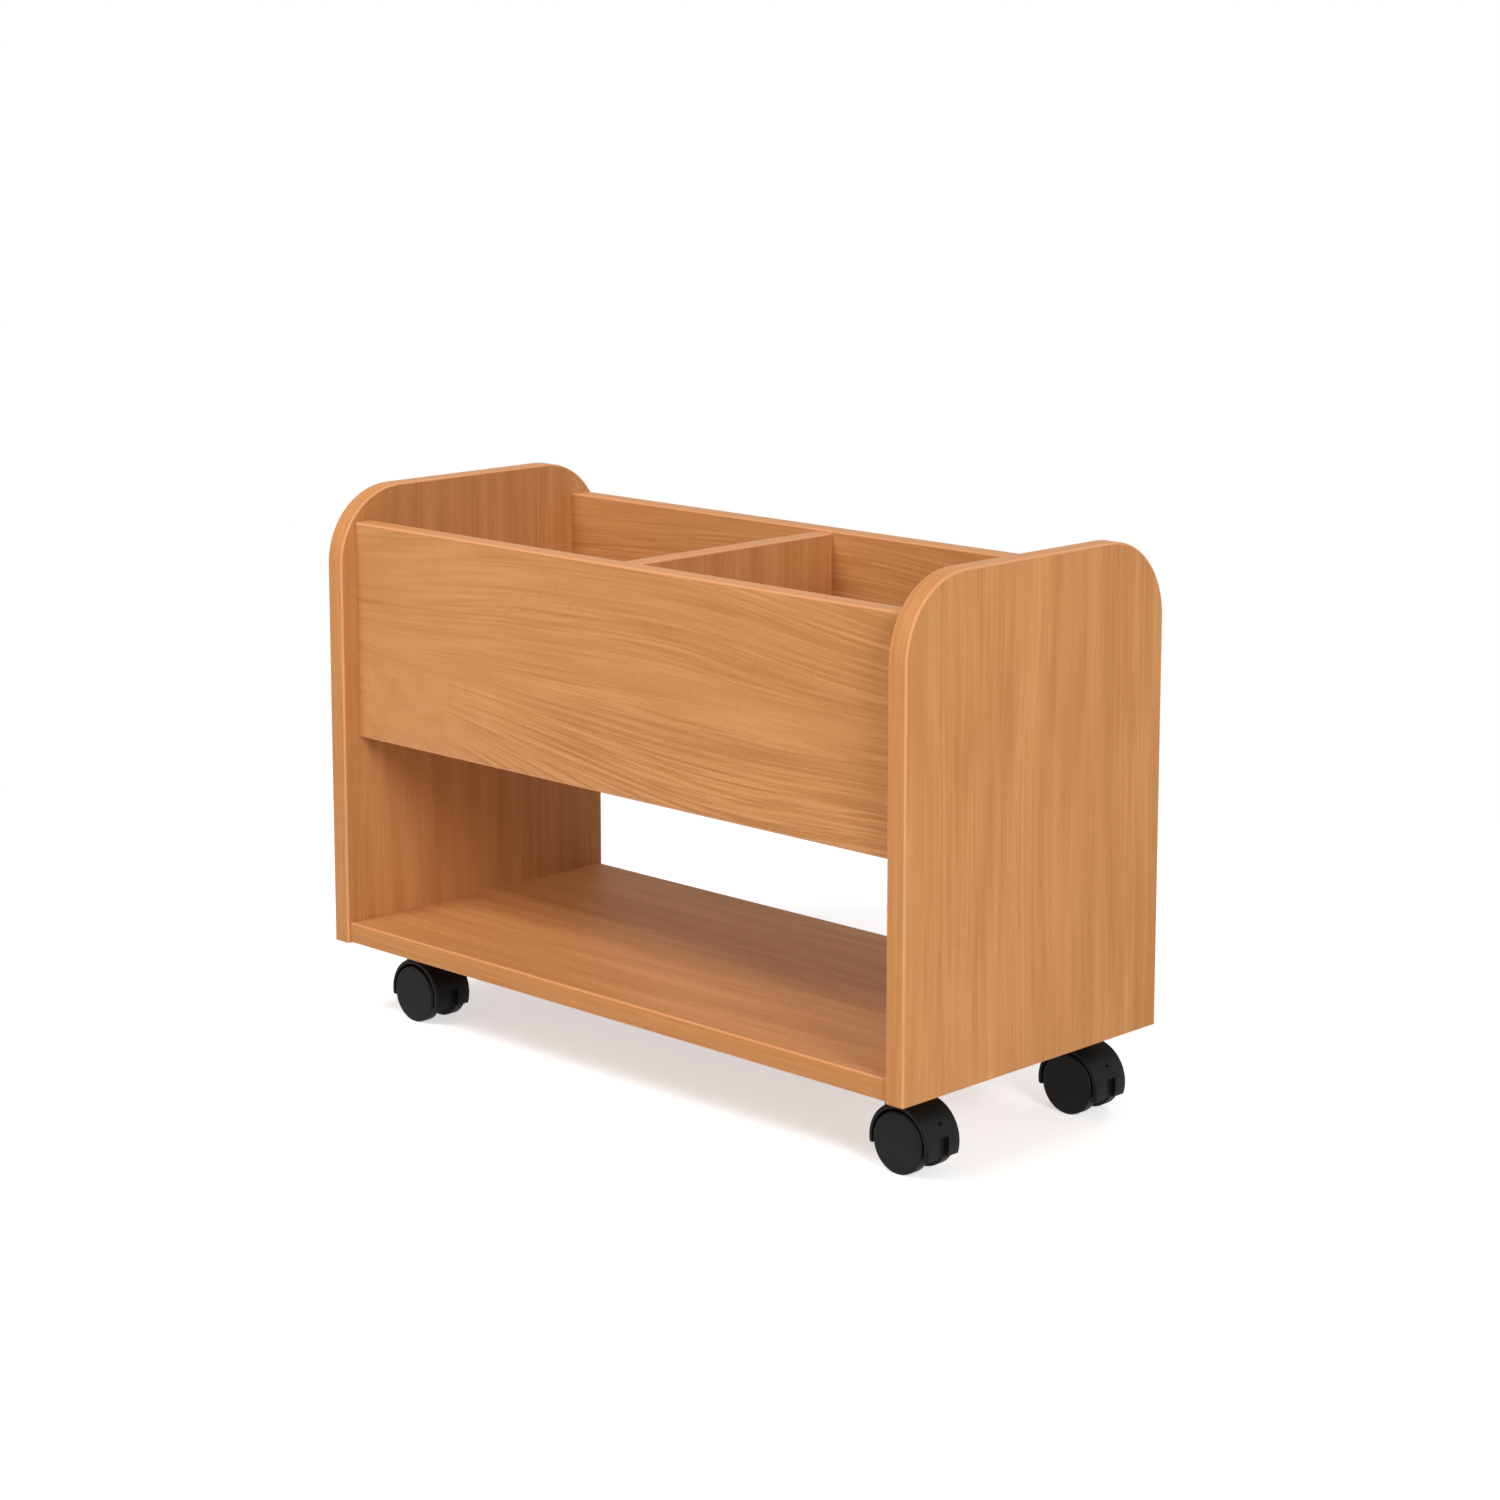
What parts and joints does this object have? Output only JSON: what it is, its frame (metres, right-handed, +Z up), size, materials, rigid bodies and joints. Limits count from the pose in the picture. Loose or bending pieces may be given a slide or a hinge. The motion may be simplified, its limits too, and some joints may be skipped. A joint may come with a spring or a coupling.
{
  "type": "picture book browser bin",
  "caption": "Mobile book browser bin in beech-faced board: divided open compartments for picture books above a through shelf, on hooded swivel castors.",
  "frame": {"origin": "on the floor, under the middle of the part", "axes": "+X along the length, to the right seen from the front; -Y to the front; +Z up"},
  "size_m": [0.67, 0.304, 0.467],
  "materials": {
    "board_face": "beech-look melamine, satin",
    "board_edging": "beech-look plastic edging, satin",
    "dowel_beech": "bare beech",
    "zinc_steel": "zinc plated",
    "black_nylon": "satin moulded"
  },
  "bodies": {
    "carcass": {"left_end_panel": "board_face", "right_end_panel": "board_face", "front_wall": "board_face", "back_wall": "board_face", "bin_base": "board_face", "centre_divider": "board_face", "bottom_shelf": "board_face", "left_end_edging": "board_edging", "right_end_edging": "board_edging", "front_wall_top_edging": "board_edging", "front_wall_bottom_edging": "board_edging", "back_wall_top_edging": "board_edging", "back_wall_bottom_edging": "board_edging", "divider_top_edging": "board_edging", "shelf_front_edging": "board_edging", "shelf_back_edging": "board_edging", "front_wall_left_dowel_1": "dowel_beech", "front_wall_left_dowel_2": "dowel_beech", "front_wall_right_dowel_1": "dowel_beech", "front_wall_right_dowel_2": "dowel_beech", "back_wall_left_dowel_1": "dowel_beech", "back_wall_left_dowel_2": "dowel_beech", "back_wall_right_dowel_1": "dowel_beech", "back_wall_right_dowel_2": "dowel_beech", "bin_base_left_dowel_1": "dowel_beech", "bin_base_left_dowel_2": "dowel_beech", "bin_base_right_dowel_1": "dowel_beech", "bin_base_right_dowel_2": "dowel_beech", "shelf_left_dowel_1": "dowel_beech", "shelf_left_dowel_2": "dowel_beech", "shelf_right_dowel_1": "dowel_beech", "shelf_right_dowel_2": "dowel_beech", "divider_front_dowel_1": "dowel_beech", "divider_front_dowel_2": "dowel_beech", "divider_back_dowel_1": "dowel_beech", "divider_back_dowel_2": "dowel_beech", "front_left_castor_insert": "zinc_steel", "front_right_castor_insert": "zinc_steel", "back_left_castor_insert": "zinc_steel", "back_right_castor_insert": "zinc_steel", "front_left_castor_stem": "zinc_steel", "front_right_castor_stem": "zinc_steel", "back_left_castor_stem": "zinc_steel", "back_right_castor_stem": "zinc_steel"},
    "front_left_castor": {"front_left_castor_hood": "black_nylon", "front_left_castor_axle": "zinc_steel"},
    "front_left_castor_front_wheel": {"front_left_castor_front_wheel": "black_nylon"},
    "front_left_castor_back_wheel": {"front_left_castor_back_wheel": "black_nylon"},
    "front_right_castor": {"front_right_castor_hood": "black_nylon", "front_right_castor_axle": "zinc_steel"},
    "front_right_castor_front_wheel": {"front_right_castor_front_wheel": "black_nylon"},
    "front_right_castor_back_wheel": {"front_right_castor_back_wheel": "black_nylon"},
    "back_left_castor": {"back_left_castor_hood": "black_nylon", "back_left_castor_axle": "zinc_steel"},
    "back_left_castor_front_wheel": {"back_left_castor_front_wheel": "black_nylon"},
    "back_left_castor_back_wheel": {"back_left_castor_back_wheel": "black_nylon"},
    "back_right_castor": {"back_right_castor_hood": "black_nylon", "back_right_castor_axle": "zinc_steel"},
    "back_right_castor_front_wheel": {"back_right_castor_front_wheel": "black_nylon"},
    "back_right_castor_back_wheel": {"back_right_castor_back_wheel": "black_nylon"}
  },
  "joints": [
    {"name": "front_left_castor_swivel", "type": "hinge", "parent": "carcass", "child": "front_left_castor", "pos_m": [-0.284, -0.101, 0.06], "axis": [0, 0, 1], "continuous": true},
    {"name": "front_left_castor_front_wheel_roll", "type": "hinge", "parent": "front_left_castor", "child": "front_left_castor_front_wheel", "pos_m": [-0.2665, -0.1095, 0.02479], "axis": [0, 1, 0], "continuous": true},
    {"name": "front_left_castor_back_wheel_roll", "type": "hinge", "parent": "front_left_castor", "child": "front_left_castor_back_wheel", "pos_m": [-0.2665, -0.0925, 0.02479], "axis": [0, 1, 0], "continuous": true},
    {"name": "front_right_castor_swivel", "type": "hinge", "parent": "carcass", "child": "front_right_castor", "pos_m": [0.284, -0.101, 0.06], "axis": [0, 0, 1], "continuous": true},
    {"name": "front_right_castor_front_wheel_roll", "type": "hinge", "parent": "front_right_castor", "child": "front_right_castor_front_wheel", "pos_m": [0.3015, -0.1095, 0.02479], "axis": [0, 1, 0], "continuous": true},
    {"name": "front_right_castor_back_wheel_roll", "type": "hinge", "parent": "front_right_castor", "child": "front_right_castor_back_wheel", "pos_m": [0.3015, -0.0925, 0.02479], "axis": [0, 1, 0], "continuous": true},
    {"name": "back_left_castor_swivel", "type": "hinge", "parent": "carcass", "child": "back_left_castor", "pos_m": [-0.284, 0.101, 0.06], "axis": [0, 0, 1], "continuous": true},
    {"name": "back_left_castor_front_wheel_roll", "type": "hinge", "parent": "back_left_castor", "child": "back_left_castor_front_wheel", "pos_m": [-0.2665, 0.0925, 0.02479], "axis": [0, 1, 0], "continuous": true},
    {"name": "back_left_castor_back_wheel_roll", "type": "hinge", "parent": "back_left_castor", "child": "back_left_castor_back_wheel", "pos_m": [-0.2665, 0.1095, 0.02479], "axis": [0, 1, 0], "continuous": true},
    {"name": "back_right_castor_swivel", "type": "hinge", "parent": "carcass", "child": "back_right_castor", "pos_m": [0.284, 0.101, 0.06], "axis": [0, 0, 1], "continuous": true},
    {"name": "back_right_castor_front_wheel_roll", "type": "hinge", "parent": "back_right_castor", "child": "back_right_castor_front_wheel", "pos_m": [0.3015, 0.0925, 0.02479], "axis": [0, 1, 0], "continuous": true},
    {"name": "back_right_castor_back_wheel_roll", "type": "hinge", "parent": "back_right_castor", "child": "back_right_castor_back_wheel", "pos_m": [0.3015, 0.1095, 0.02479], "axis": [0, 1, 0], "continuous": true}
  ]
}
